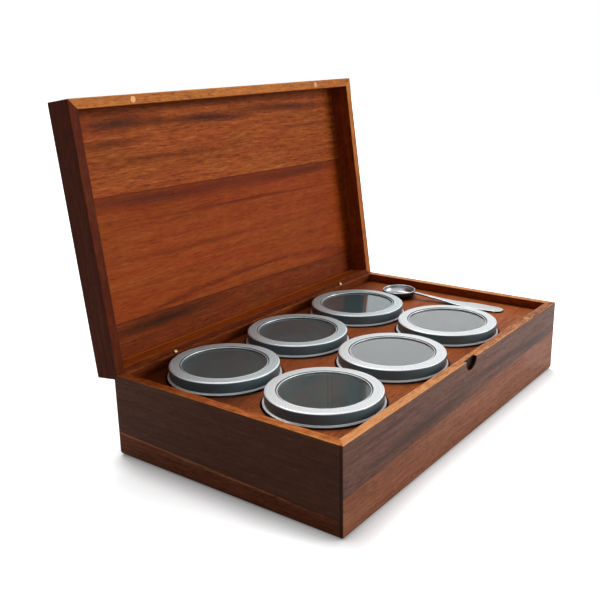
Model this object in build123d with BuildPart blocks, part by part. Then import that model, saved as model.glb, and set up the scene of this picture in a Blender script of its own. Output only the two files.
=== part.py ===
from build123d import *
import os
from math import cos, radians, sin, tan

os.makedirs("parts", exist_ok=True)

# Origin: centre of the box's underside. X runs along the front, the front faces -Y, Z is up.
# The lid is modelled open, as far back as its bevelled rear edge lets it go.

# Tins, which set the size of everything around them
tin_height = 61.2
tin_seat_gap = 0.2
hem_radius = 42.6
hem_roll = 0.9
cover_height = 9.4
cover_sheet = 0.4
cover_shoulder = 1.0
ring_inner_radius = 33.4
window_radius = 31.9
window_thick = 0.5
window_overlap = 1.4
ledge_drop = 1.0
bead_radius = 0.35
can_sheet = 0.3
can_curl = 0.5
cover_fit = 0.3
seam_width = 2.9
seam_lap = 0.3
seam_angles = (29.3, 214.0, 196.0, 232.0, 205.0, 223.0)
base_seam_height = 3.0
base_panel_rise = 2.4
base_sheet = 0.35
base_fit = 0.05

# Deck with its six wells
columns = 3
rows = 2
well_clearance = 1.3
well_web = 2.6
well_margin_left = 8.7
well_margin_front = 4.2
well_margin_rear = 2.6
well_edge_round = 0.5
scoop_bay = 52.7
deck_thick = 5.0
deck_drop = 7.5
deck_side_gap = 0.2
hem_over_deck = 0.5

# Box
wall_thick = 7.5
floor_thick = 5.0
rebate_width = 4.0
bottom_round = 3.0
corner_round = 0.8
rim_round = 0.5
front_joint_shares = (0.434, 0.594)
right_joint_shares = (0.531, 0.586)
rear_joint_shares = (0.398, 0.328)
left_joint_shares = (0.297, 0.192)
notch_radius = 8.8
notch_depth = 3.0
cleat_height = 8.0
cleat_clearance = 0.2

# Lid
rim_gap = 0.2
lid_recess = 18.8
lid_panel_thick = 4.2
lid_round = 1.5
panel_front_share = 0.357
panel_middle_share = 0.513
panel_joint_lean = 7.2
open_angle = 97.7
bevel_gap = 0.1

# Catch magnets
magnet_radius = 2.4
magnet_thick = 3.0
magnet_spacing = 228.0
plug_fit = 0.05

# Barrel hinges
hinge_spacing = 228.0
barrel_radius = 2.5
barrel_length = 10.0
barrel_gap = 0.5
knuckle_clearance = 0.5
stem_width = 2.8
stem_root = 0.3
tongue_thick = 1.0
ear_thick = 0.6
ear_gap = 0.1
pin_radius = 0.6
tongue_pin_fit = 0.02
ear_pin_fit = 0.06

# Scoop
scoop_from_well = 20.4
scoop_from_rear = 53.0
scoop_turn = 5.3
scoop_seat_gap = 0.2
bowl_radius = 15.5
bowl_depth = 7.3
bowl_wall = 0.8
bowl_draft = 0.7
bowl_round = 5.5
handle_thick = 1.2
handle_reach = 103.0
root_width = 3.8
neck_width = 4.8
neck_round = 60.0
shoulder_length = 33.0
paddle_start_width = 16.4
paddle_start_round = 25.0
paddle_length = 19.0
paddle_end_width = 14.8
paddle_end_round = 12.0
tip_length = 9.0
tip_width = 6.8
tip_round = 3.8
root_drop = 0.8
knee_before_paddle = 16.4
knee_rise = 0.9
knee_round = 150.0
weld_gap = 0.05

# Sizes worked out from those above
skirt_inner_radius = hem_radius - 2 * hem_roll
skirt_radius = skirt_inner_radius + cover_sheet
can_radius = skirt_inner_radius - cover_fit
can_inner_radius = can_radius - can_sheet
can_height = tin_height - cover_sheet - cover_fit
well_radius = hem_radius + well_clearance
well_pitch = 2 * well_radius + well_web
wells_length = 2 * well_radius * columns + well_web * (columns - 1)
wells_width = 2 * well_radius * rows + well_web * (rows - 1)
inner_length = well_margin_left + wells_length + scoop_bay
inner_width = well_margin_front + wells_width + well_margin_rear
box_length = inner_length + 2 * wall_thick
box_width = inner_width + 2 * wall_thick
tin_foot = floor_thick + tin_seat_gap
deck_top = tin_foot + tin_height - cover_height - hem_over_deck
base_height = deck_top + deck_drop
lid_height = lid_recess + lid_panel_thick
axis_y = box_width / 2 - wall_thick / 2
axis_z = base_height + rim_gap / 2
catch_y = wall_thick / 2 - box_width / 2
half_angle = radians(open_angle / 2)
knuckle_radius = barrel_radius - knuckle_clearance
barrel_sink = barrel_radius * tan(half_angle) + barrel_gap
barrel_depth = barrel_sink + barrel_length
pin_length = tongue_thick + 2 * (ear_gap + ear_thick)
wells_x = -inner_length / 2 + well_margin_left + wells_length / 2
wells_y = -inner_width / 2 + well_margin_front + wells_width / 2
cleat_thick = well_margin_rear - cleat_clearance
channel_inner = can_inner_radius - base_fit - base_sheet
channel_outer = can_radius + base_fit + base_sheet
hem_centre = tin_height - cover_height + hem_roll
ledge_top = tin_height - ledge_drop
ledge_under = ledge_top - cover_sheet
paddle_end = handle_reach - tip_length
paddle_start = paddle_end - paddle_length
neck_end = paddle_start - shoulder_length
handle_knee = paddle_start - knee_before_paddle

print(f"outside, shut: {box_length:.1f} x {box_width:.1f} x {base_height + rim_gap + lid_height:.1f}")
print(f"tins: {2 * hem_radius:.1f} across the hem, {tin_height:.1f} tall")

# Frame of the open lid. Its plan plane has the coordinates of the shut lid, at the hinge's height.
lean = radians(open_angle)
lid_up = Vector(0, sin(lean), cos(lean))
lid_back = Vector(0, cos(lean), -sin(lean))
lid_origin = Vector(0, axis_y, axis_z) - lid_back * axis_y
lid_plan = Plane(origin=lid_origin, x_dir=(1, 0, 0), z_dir=lid_up)
lid_side = Plane(origin=lid_origin, x_dir=lid_back, z_dir=(1, 0, 0))
lid_rim = lid_plan.offset(rim_gap / 2)
lid_panel_face = lid_rim.offset(lid_recess)
box_rim = Plane.XY.offset(base_height)
box_side = Plane(origin=(0, 0, axis_z), x_dir=(0, 1, 0), z_dir=(1, 0, 0))

sides = ["front", "right", "rear", "left"]
joint_shares = [front_joint_shares, right_joint_shares, rear_joint_shares, left_joint_shares]
magnet_spots = [(-magnet_spacing / 2, catch_y), (magnet_spacing / 2, catch_y)]
hinge_spots = [(-hinge_spacing / 2, axis_y), (hinge_spacing / 2, axis_y)]


# Corners of a rectangle about the centre, in the order of the sides that start there
def frame_corners(length, width):
    half_x = length / 2
    half_y = width / 2
    return [(-half_x, -half_y), (half_x, -half_y), (half_x, half_y), (-half_x, half_y)]


# Plan of one side of a mitred frame, from its outer to its inner corners
def mitred_side(side):
    first = sides.index(side)
    second = (first + 1) % len(sides)
    outer = frame_corners(box_length, box_width)
    inner = frame_corners(inner_length, inner_width)
    return [outer[first], outer[second], inner[second], inner[first]]


# Section of what the rear rim loses so that the lid can lean back. Box and lid share the angle.
# Way is -1 for the box, which is cut downwards, and 1 for the lid.
def bevel_section(way):
    reach = 2 * wall_thick
    start = way * bevel_gap / cos(half_angle)
    slope_end = (axis_y + reach, start + way * reach * tan(half_angle))
    return [(axis_y, start), slope_end, (axis_y + reach, -way * reach), (axis_y, -way * reach)]


# Form of the box's four walls as one frame: rounded underneath, soft rim, bevelled at the rear
with BuildPart() as box_form:
    with BuildSketch():
        Rectangle(box_length, box_width)
    extrude(amount=base_height)
    fillet(box_form.edges().filter_by(Axis.Z), radius=corner_round)
    fillet(box_form.edges().group_by(Axis.Z)[0], radius=bottom_round)
    with BuildSketch():
        Rectangle(inner_length, inner_width)
    extrude(amount=base_height, mode=Mode.SUBTRACT)
    fillet(box_form.edges().group_by(Axis.Z)[-1], radius=rim_round)
    with BuildSketch(box_side):
        Polygon(*bevel_section(-1), align=None)
    extrude(amount=box_length, both=True, mode=Mode.SUBTRACT)

# Form of the lid's four rails: rounded along the top, soft rim, bevelled at the rear
with BuildPart() as lid_form:
    with BuildSketch(lid_rim):
        Rectangle(box_length, box_width)
    extrude(amount=lid_height)
    fillet(lid_form.edges().filter_by(Axis(lid_origin, lid_up)), radius=corner_round)
    fillet(lid_form.edges().group_by(Axis(lid_origin, lid_up))[-1], radius=lid_round)
    with BuildSketch(lid_rim):
        Rectangle(inner_length, inner_width)
    extrude(amount=lid_height, mode=Mode.SUBTRACT)
    fillet(lid_form.edges().group_by(Axis(lid_origin, lid_up))[0], radius=rim_round)
    with BuildSketch(lid_side):
        Polygon(*bevel_section(1), align=None)
    extrude(amount=box_length, both=True, mode=Mode.SUBTRACT)

# Walls: two boards each, edge glued, mitred at the corners. Their joint leans a little: it has a
# share of the height at the wall's left end and another at its right end, as seen from outside.
for side, (left_share, right_share) in zip(sides, joint_shares):
    joint_left = left_share * base_height
    joint_right = right_share * base_height
    left_corner, right_corner = (Vector(*corner) for corner in mitred_side(side)[:2])
    wall_way = (right_corner - left_corner).normalized()
    wall_length = (right_corner - left_corner).length
    wall_face = Plane(origin=left_corner, x_dir=wall_way, z_dir=wall_way.cross(Vector(0, 0, 1)))
    lower_face = [(0, 0), (wall_length, 0), (wall_length, joint_right), (0, joint_left)]
    upper_face = [(0, joint_left), (wall_length, joint_right), (wall_length, base_height), (0, base_height)]
    for level, board_face in (("lower", lower_face), ("upper", upper_face)):
        with BuildPart() as board:
            with BuildSketch(wall_face):
                Polygon(*board_face, align=None)
            extrude(amount=-wall_thick)
            with BuildSketch():
                Polygon(*mitred_side(side), align=None)
            extrude(amount=base_height, mode=Mode.INTERSECT)
            add(box_form.part, mode=Mode.INTERSECT)
            if level == "lower":
                with BuildSketch():
                    Rectangle(inner_length + 2 * rebate_width, inner_width + 2 * rebate_width)
                extrude(amount=floor_thick, mode=Mode.SUBTRACT)
            elif side == "front":
                with BuildSketch(Plane.XZ.offset(box_width / 2)):
                    with Locations((0, base_height)):
                        Circle(notch_radius)
                extrude(amount=-notch_depth, mode=Mode.SUBTRACT)
                with BuildSketch(box_rim):
                    with Locations(*magnet_spots):
                        Circle(magnet_radius + plug_fit)
                extrude(amount=-magnet_thick, mode=Mode.SUBTRACT)
            elif side == "rear":
                with BuildSketch(box_rim):
                    with Locations(*hinge_spots):
                        Circle(barrel_radius + plug_fit)
                extrude(amount=-barrel_depth, mode=Mode.SUBTRACT)
        board.part.label = f"{side}_wall_{level}"
        export_step(board.part, f"parts/{side}_wall_{level}.step")

# Floor panel, let into the rebate and flush with the walls underneath
with BuildPart() as floor_panel:
    with BuildSketch():
        Rectangle(inner_length + 2 * rebate_width, inner_width + 2 * rebate_width)
    extrude(amount=floor_thick)
floor_panel.part.label = "floor_panel"
export_step(floor_panel.part, "parts/floor_panel.step")

# Deck with the six wells
with BuildPart() as deck_panel:
    with BuildSketch(Plane.XY.offset(deck_top)):
        Rectangle(inner_length - 2 * deck_side_gap, inner_width - 2 * deck_side_gap)
        with Locations((wells_x, wells_y)):
            with GridLocations(well_pitch, well_pitch, columns, rows):
                Circle(well_radius, mode=Mode.SUBTRACT)
    extrude(amount=-deck_thick)
    well_rims = deck_panel.edges().filter_by(GeomType.CIRCLE).group_by(Axis.Z)[-1]
    fillet(well_rims, radius=well_edge_round)
deck_panel.part.label = "deck_panel"
export_step(deck_panel.part, "parts/deck_panel.step")

# Cleats glued to the walls, which carry the deck
cleat_top = Plane.XY.offset(deck_top - deck_thick)
for side, way in (("front", -1), ("rear", 1)):
    with BuildPart() as cleat:
        with BuildSketch(cleat_top):
            with Locations((0, way * (inner_width - cleat_thick) / 2)):
                Rectangle(inner_length, cleat_thick)
        extrude(amount=-cleat_height)
    cleat.part.label = f"{side}_cleat"
    export_step(cleat.part, f"parts/{side}_cleat.step")

for side, way in (("left", -1), ("right", 1)):
    with BuildPart() as cleat:
        with BuildSketch(cleat_top):
            with Locations((way * (inner_length - cleat_thick) / 2, 0)):
                Rectangle(cleat_thick, inner_width - 2 * cleat_thick)
        extrude(amount=-cleat_height)
    cleat.part.label = f"{side}_cleat"
    export_step(cleat.part, f"parts/{side}_cleat.step")

# Lid rails, mitred, with a rebate for the panel
for side in sides:
    with BuildPart() as rail:
        with BuildSketch(lid_rim):
            Polygon(*mitred_side(side), align=None)
        extrude(amount=lid_height)
        add(lid_form.part, mode=Mode.INTERSECT)
        with BuildSketch(lid_panel_face):
            Rectangle(inner_length + 2 * rebate_width, inner_width + 2 * rebate_width)
        extrude(amount=lid_panel_thick, mode=Mode.SUBTRACT)
        if side == "front":
            with BuildSketch(lid_rim):
                with Locations(*magnet_spots):
                    Circle(magnet_radius + plug_fit)
            extrude(amount=magnet_thick, mode=Mode.SUBTRACT)
        elif side == "rear":
            with BuildSketch(lid_rim):
                with Locations(*hinge_spots):
                    Circle(barrel_radius + plug_fit)
            extrude(amount=barrel_depth, mode=Mode.SUBTRACT)
    rail.part.label = f"lid_{side}_rail"
    export_step(rail.part, f"parts/lid_{side}_rail.step")

# Lid panel: three edge-glued boards whose joints run a little off the frame's line
panel_end = inner_length / 2 + rebate_width
panel_edge = inner_width / 2 + rebate_width
first_joint = -inner_width / 2 + panel_front_share * inner_width
second_joint = first_joint + panel_middle_share * inner_width
half_lean = panel_joint_lean / 2
panel_lines = [
    (-panel_edge, -panel_edge),
    (first_joint - half_lean, first_joint + half_lean),
    (second_joint - half_lean, second_joint + half_lean),
    (panel_edge, panel_edge),
]
for name, near, far in zip(("front", "middle", "rear"), panel_lines, panel_lines[1:]):
    left_near, right_near = near
    left_far, right_far = far
    with BuildPart() as panel_board:
        with BuildSketch(lid_panel_face):
            with BuildLine():
                Polyline(
                    (-panel_end, left_near),
                    (panel_end, right_near),
                    (panel_end, right_far),
                    (-panel_end, left_far),
                    close=True,
                )
            make_face()
        extrude(amount=lid_panel_thick)
    panel_board.part.label = f"lid_panel_{name}"
    export_step(panel_board.part, f"parts/lid_panel_{name}.step")

# Catch magnets, flush with the two rims
with BuildPart() as box_magnets:
    with BuildSketch(box_rim):
        with Locations(*magnet_spots):
            Circle(magnet_radius)
    extrude(amount=-magnet_thick)
box_magnets.part.label = "box_magnets"
export_step(box_magnets.part, "parts/box_magnets.step")

with BuildPart() as lid_magnets:
    with BuildSketch(lid_rim):
        with Locations(*magnet_spots):
            Circle(magnet_radius)
    extrude(amount=magnet_thick)
lid_magnets.part.label = "lid_magnets"
export_step(lid_magnets.part, "parts/lid_magnets.step")

# Box half of the barrel hinges: a barrel down in the wall, and a tongue up to the pin
with BuildPart() as box_barrels:
    with BuildSketch(Plane.XY.offset(axis_z - barrel_sink)):
        with Locations(*hinge_spots):
            Circle(barrel_radius)
    extrude(amount=-barrel_length)
    for x, y in hinge_spots:
        with BuildSketch(box_side.offset(x - tongue_thick / 2)):
            with Locations((y, 0)):
                Circle(knuckle_radius)
                Rectangle(stem_width, barrel_sink + stem_root, align=(Align.CENTER, Align.MAX))
                Circle(pin_radius + tongue_pin_fit, mode=Mode.SUBTRACT)
        extrude(amount=tongue_thick)
box_barrels.part.label = "box_barrels"
export_step(box_barrels.part, "parts/box_barrels.step")

# Lid half: a barrel in the rail, and two ears, one on each side of the tongue
with BuildPart() as lid_barrels:
    with BuildSketch(lid_plan.offset(barrel_sink)):
        with Locations(*hinge_spots):
            Circle(barrel_radius)
    extrude(amount=barrel_length)
    for x, y in hinge_spots:
        for ear_x in (x - pin_length / 2, x + pin_length / 2 - ear_thick):
            with BuildSketch(lid_side.offset(ear_x)):
                with Locations((y, 0)):
                    Circle(knuckle_radius)
                    Rectangle(stem_width, barrel_sink + stem_root, align=(Align.CENTER, Align.MIN))
                    Circle(pin_radius + ear_pin_fit, mode=Mode.SUBTRACT)
            extrude(amount=ear_thick)
lid_barrels.part.label = "lid_barrels"
export_step(lid_barrels.part, "parts/lid_barrels.step")

with BuildPart() as hinge_pins:
    for x, y in hinge_spots:
        with BuildSketch(box_side.offset(x - pin_length / 2)):
            with Locations((y, 0)):
                Circle(pin_radius)
        extrude(amount=pin_length)
hinge_pins.part.label = "hinge_pins"
export_step(hinge_pins.part, "parts/hinge_pins.step")


# Centre of the underside of a tin
def tin_place(column, row):
    x = wells_x + (column - (columns - 1) / 2) * well_pitch
    y = wells_y + (row - (rows - 1) / 2) * well_pitch
    return (x, y, tin_foot)


# Tins, numbered from the front left: can wall, base, cover and window. Each is turned its own way.
tin_places = [tin_place(column, row) for row in range(rows) for column in range(columns)]
for number, place in enumerate(tin_places, start=1):
    tin_axis = Axis(place, (0, 0, 1))
    section = Plane(origin=place, x_dir=(1, 0, 0), z_dir=(0, -1, 0))
    seam = radians(seam_angles[(number - 1) % len(seam_angles)])
    seam_plan = Plane(origin=place, x_dir=(cos(seam), sin(seam), 0), z_dir=(0, 0, 1))

    # Can wall: sheet rolled to a tube, curled in at the top, lapped inside at the side seam
    wall_foot = base_sheet + base_fit
    with BuildPart() as can_wall:
        with BuildSketch(section):
            with Locations((can_inner_radius, wall_foot)):
                Rectangle(can_sheet, can_height - can_curl - wall_foot, align=Align.MIN)
            with Locations((can_radius - can_curl, can_height - can_curl)):
                Circle(can_curl)
        revolve(axis=tin_axis)
        with BuildSketch(seam_plan.offset(base_seam_height)):
            Circle(can_radius - can_sheet / 2)
            Circle(can_inner_radius - seam_lap, mode=Mode.SUBTRACT)
            strip_end = (Align.MIN, Align.CENTER)
            Rectangle(2 * can_radius, seam_width, align=strip_end, mode=Mode.INTERSECT)
        extrude(amount=can_height - can_curl - base_seam_height)
    can_wall.part.label = f"tin_{number}_wall"
    export_step(can_wall.part, f"parts/tin_{number}_wall.step")

    # Base: a raised disc with a channel round its edge, folded over the foot of the wall
    with BuildPart() as can_base:
        with BuildSketch(section):
            with BuildLine():
                Polyline(
                    (0, base_panel_rise),
                    (channel_inner, base_panel_rise),
                    (channel_inner, 0),
                    (channel_outer, 0),
                    (channel_outer, base_seam_height),
                    (can_radius + base_fit, base_seam_height),
                    (can_radius + base_fit, base_sheet),
                    (can_inner_radius - base_fit, base_sheet),
                    (can_inner_radius - base_fit, base_panel_rise + base_sheet),
                    (0, base_panel_rise + base_sheet),
                    close=True,
                )
            make_face()
        revolve(axis=tin_axis)
    can_base.part.label = f"tin_{number}_base"
    export_step(can_base.part, f"parts/tin_{number}_base.step")

    # Cover: skirt with a rolled hem, flat ring, and a beaded ledge down to the window
    with BuildPart() as cover:
        with BuildSketch(section) as cover_section:
            with BuildLine():
                Polyline(
                    (skirt_radius, hem_centre),
                    (skirt_radius, tin_height),
                    (ring_inner_radius, tin_height),
                    (ring_inner_radius, ledge_top),
                    (window_radius, ledge_top),
                    (window_radius, ledge_under),
                    (ring_inner_radius + cover_sheet, ledge_under),
                    (ring_inner_radius + cover_sheet, tin_height - cover_sheet),
                    (skirt_inner_radius, tin_height - cover_sheet),
                    (skirt_inner_radius, hem_centre),
                    close=True,
                )
            make_face()
            outer_shoulder = (skirt_radius, tin_height)
            inner_shoulder = (skirt_inner_radius, tin_height - cover_sheet)
            for corner, corner_round in (
                (outer_shoulder, cover_shoulder),
                (inner_shoulder, cover_shoulder - cover_sheet),
            ):
                fillet(cover_section.vertices().sort_by_distance(corner)[0], radius=corner_round)
            with Locations((hem_radius - hem_roll, hem_centre)):
                Circle(hem_roll)
            with Locations((window_radius + bead_radius, ledge_top)):
                Circle(bead_radius)
        revolve(axis=tin_axis)
    cover.part.label = f"tin_{number}_cover"
    export_step(cover.part, f"parts/tin_{number}_cover.step")

    # Window: clear disc held under the ledge
    with BuildPart() as window:
        with BuildSketch(Plane(origin=place).offset(ledge_under)):
            Circle(window_radius + window_overlap)
        extrude(amount=-window_thick)
    window.part.label = f"tin_{number}_window"
    export_step(window.part, f"parts/tin_{number}_window.step")

# Scoop, lying on the deck in the bay beside the wells, its handle towards the front
scoop_x = wells_x + wells_length / 2 + scoop_from_well
scoop_y = inner_width / 2 - scoop_from_rear
scoop_foot = (scoop_x, scoop_y, deck_top + scoop_seat_gap)
turn = radians(scoop_turn)
handle_way = Vector(sin(turn), -cos(turn), 0)
scoop_plan = Plane(origin=scoop_foot, x_dir=handle_way, z_dir=(0, 0, 1))
scoop_side = Plane(origin=scoop_foot, x_dir=handle_way, z_dir=handle_way.cross(Vector(0, 0, 1)))

with BuildPart() as scoop_bowl:
    with BuildSketch(scoop_side) as bowl_section:
        with BuildLine():
            Polyline(
                (0, 0),
                (bowl_radius - bowl_draft, 0),
                (bowl_radius, bowl_depth),
                (bowl_radius - bowl_wall, bowl_depth),
                (bowl_radius - bowl_wall - bowl_draft, bowl_wall),
                (0, bowl_wall),
                close=True,
            )
        make_face()
        outer_heel = (bowl_radius - bowl_draft, 0)
        inner_heel = (bowl_radius - bowl_wall - bowl_draft, bowl_wall)
        for corner, corner_round in (
            (outer_heel, bowl_round),
            (inner_heel, bowl_round - bowl_wall),
        ):
            fillet(bowl_section.vertices().sort_by_distance(corner)[0], radius=corner_round)
    revolve(axis=Axis(scoop_foot, (0, 0, 1)))
scoop_bowl.part.label = "scoop_bowl"
export_step(scoop_bowl.part, "parts/scoop_bowl.step")

# Handle: flat strip welded under the rim, widening to a rounded paddle that rests on the deck
root_top = bowl_depth - root_drop
knee_top = knee_rise + handle_thick
root_slope = (root_top - knee_top) / (handle_knee - bowl_radius)
middle_top = root_top + root_slope * bowl_radius
with BuildPart() as scoop_handle:
    with BuildSketch(scoop_plan) as handle_outline:
        with BuildLine():
            Polyline(
                (0, root_width / 2),
                (neck_end, neck_width / 2),
                (paddle_start, paddle_start_width / 2),
                (paddle_end, paddle_end_width / 2),
                (handle_reach, tip_width / 2),
                (handle_reach, -tip_width / 2),
                (paddle_end, -paddle_end_width / 2),
                (paddle_start, -paddle_start_width / 2),
                (neck_end, -neck_width / 2),
                (0, -root_width / 2),
                close=True,
            )
        make_face()
        for reach, width, corner_round in (
            (neck_end, neck_width, neck_round),
            (paddle_start, paddle_start_width, paddle_start_round),
            (paddle_end, paddle_end_width, paddle_end_round),
            (handle_reach, tip_width, tip_round),
        ):
            for corner in ((reach, width / 2), (reach, -width / 2)):
                nearest = handle_outline.vertices().sort_by_distance(corner)[0]
                fillet(nearest, radius=corner_round)
    extrude(amount=bowl_depth)
    with BuildSketch(scoop_side) as handle_section:
        with BuildLine():
            Polyline(
                (0, middle_top),
                (handle_knee, knee_top),
                (handle_reach, handle_thick),
                (handle_reach, 0),
                (handle_knee, knee_rise),
                (0, middle_top - handle_thick),
                close=True,
            )
        make_face()
        for corner in ((handle_knee, knee_top), (handle_knee, knee_rise)):
            nearest = handle_section.vertices().sort_by_distance(corner)[0]
            fillet(nearest, radius=knee_round)
    extrude(amount=paddle_start_width, both=True, mode=Mode.INTERSECT)
    with BuildSketch(scoop_plan):
        Circle(bowl_radius + weld_gap)
    extrude(amount=bowl_depth, mode=Mode.SUBTRACT)
scoop_handle.part.label = "scoop_handle"
export_step(scoop_handle.part, "parts/scoop_handle.step")
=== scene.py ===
from functools import partial
from math import acos, cos, pi, radians, sin, tan

import bmesh
import bpy
from mathutils import Matrix, Vector


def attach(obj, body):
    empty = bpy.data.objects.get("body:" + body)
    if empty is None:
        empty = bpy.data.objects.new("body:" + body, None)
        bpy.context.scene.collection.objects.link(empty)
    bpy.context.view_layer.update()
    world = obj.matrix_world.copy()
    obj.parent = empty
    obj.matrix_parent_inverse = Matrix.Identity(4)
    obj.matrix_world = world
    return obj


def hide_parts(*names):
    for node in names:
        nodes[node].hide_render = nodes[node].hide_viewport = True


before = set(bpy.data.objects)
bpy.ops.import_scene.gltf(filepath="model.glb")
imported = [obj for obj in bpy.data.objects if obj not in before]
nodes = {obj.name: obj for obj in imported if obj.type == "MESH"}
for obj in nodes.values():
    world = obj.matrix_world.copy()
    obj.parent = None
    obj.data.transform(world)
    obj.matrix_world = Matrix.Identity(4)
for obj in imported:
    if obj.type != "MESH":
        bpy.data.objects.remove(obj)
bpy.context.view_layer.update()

mm = 0.001


# sRGB hex to the linear colour that the sockets take
def hexColor(text):
    parts = [int(text[i : i + 2], 16) / 255 for i in (1, 3, 5)]
    return [c / 12.92 if c <= 0.04045 else ((c + 0.055) / 1.055) ** 2.4 for c in parts] + [1.0]


# One node with its settings. The kind of a shader node goes without its prefix. An input takes a value,
# a socket or a node, which gives the first output that it has in use.
def addNode(tree, kind, inputs=None, **settings):
    node = tree.nodes.new(kind if "Node" in kind else "ShaderNode" + kind)
    for name, value in settings.items():
        setattr(node, name, value)
    for key, value in (inputs or {}).items():
        if isinstance(value, bpy.types.Node):
            value = next(output for output in value.outputs if output.enabled)
        if isinstance(value, bpy.types.NodeSocket):
            tree.links.new(value, node.inputs[key])
        else:
            node.inputs[key].default_value = value
    return node


# A material, its add-node helper and the coordinates at the point that is shaded
def newMaterial(name):
    material = bpy.data.materials.new(name)
    material.use_nodes = True
    material.node_tree.nodes.clear()
    add = partial(addNode, material.node_tree)
    return material, add, add("TexCoord").outputs


def setRamp(node, stops):
    elements = node.color_ramp.elements
    while len(elements) < len(stops):
        elements.new(0.5)
    for element, (position, color) in zip(elements, stops):
        element.position = position
        element.color = hexColor(color)


def dress(nodeName, material):
    nodes[nodeName].data.materials.clear()
    nodes[nodeName].data.materials.append(material)


# ---- camera, solved from the box's edges and the tins in the photograph
camera = {
    "place": (-0.5409, -0.3478, 0.2895),
    "right": (0.59686, -0.80214, -0.0181),
    "down": (-0.24402, -0.15999, -0.95648),
    "forward": (0.76434, 0.5753, -0.29123),
    "lens": 50,
}
cameraData = bpy.data.cameras.new("camera")
cameraData.lens = camera["lens"]
cameraData.sensor_width = 36
cameraData.clip_start = 0.01
cameraObject = bpy.data.objects.new("camera", cameraData)
right, down, forward = (Vector(camera[way]).normalized() for way in ("right", "down", "forward"))
cameraTurn = Matrix((right, -down, -forward)).transposed().to_4x4()
cameraObject.matrix_world = Matrix.Translation(camera["place"]) @ cameraTurn
bpy.context.scene.collection.objects.link(cameraObject)
bpy.context.scene.camera = cameraObject
print("camera ready")

# ---- the open lid's own directions: through it, and from its front to its hinges
lid = {"openAngle": 97.7, "axis": (0, 96.25, 64.1)}
lidUp = Vector((0, sin(radians(lid["openAngle"])), cos(radians(lid["openAngle"]))))
lidBack = Vector((0, cos(radians(lid["openAngle"])), -sin(radians(lid["openAngle"]))))
lidOrigin = Vector(lid["axis"]) - lidBack * lid["axis"][1]
along, across, upward = Vector((1, 0, 0)), Vector((0, 1, 0)), Vector((0, 0, 1))

# ---- where the tins stand, in mm: three along the front, three along the rear
tinsInRow = 3
tinPlaces = [(x, y) for y in (-44.4, 46.0) for x in (-112.4, -22.0, 68.4)]

# ---- short forms that the materials share
toMm = (1 / mm, 1 / mm, 1 / mm)
noiseRange = {"From Min": 0.3, "From Max": 0.7}  # noise seldom leaves it


def toRange(low, high):
    return {"To Min": low, "To Max": high}


# the scale of a pattern that is long along the grain and narrow across it, from its size in mm
def stretch(length, width):
    return (1 / length, 1 / width, 1 / width)


# millimetres from a place, along a board's or a shape's own directions
def ownSpace(turn, place):
    return {"Location": -place, "Rotation": turn.to_euler(), "Scale": toMm}


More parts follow.
